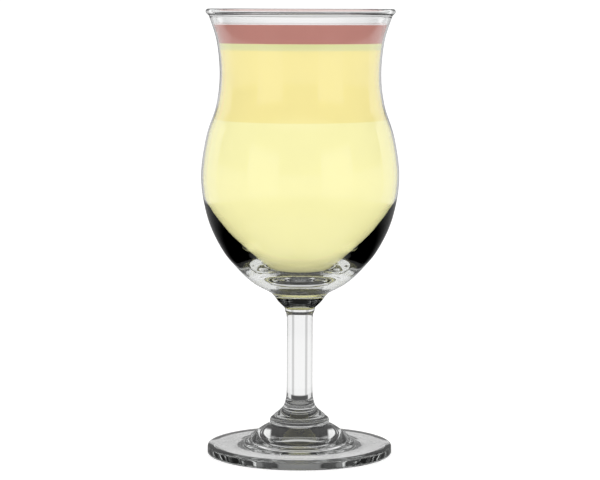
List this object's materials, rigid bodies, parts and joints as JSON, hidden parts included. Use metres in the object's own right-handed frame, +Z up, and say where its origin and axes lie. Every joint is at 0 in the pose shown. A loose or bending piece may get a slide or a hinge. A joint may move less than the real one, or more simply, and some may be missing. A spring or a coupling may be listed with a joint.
{
  "type": "layered pineapple cooler in a stem glass",
  "caption": "Clear stem glass with flared rim, waist, round bulb and domed foot, filled with a cloudy pineapple drink in flat layers: pale yellow, golden, pale green and a red top.",
  "frame": {"origin": "on the glass's axis, at the level of the surface that the foot stands on", "axes": "+Z up along the glass's axis, from the foot to the rim; the part is turned round +Z, so +X and +Y are alike, and the picture looks along +Y"},
  "size_m": [0.0808, 0.0808, 0.1823],
  "materials": {
    "clear_glass": "polished clear soda-lime glass",
    "pale_yellow_juice": "cloudy pale yellow pineapple juice",
    "golden_juice": "cloudy golden pineapple juice",
    "pale_green_juice": "cloudy pale green juice",
    "red_syrup_juice": "cloudy dusty red juice"
  },
  "bodies": {
    "root": {"stem_glass": "clear_glass", "drink_pale_yellow_base": "pale_yellow_juice", "drink_golden_layer": "golden_juice", "drink_green_band": "pale_green_juice", "drink_red_top": "red_syrup_juice"}
  },
  "joints": []
}
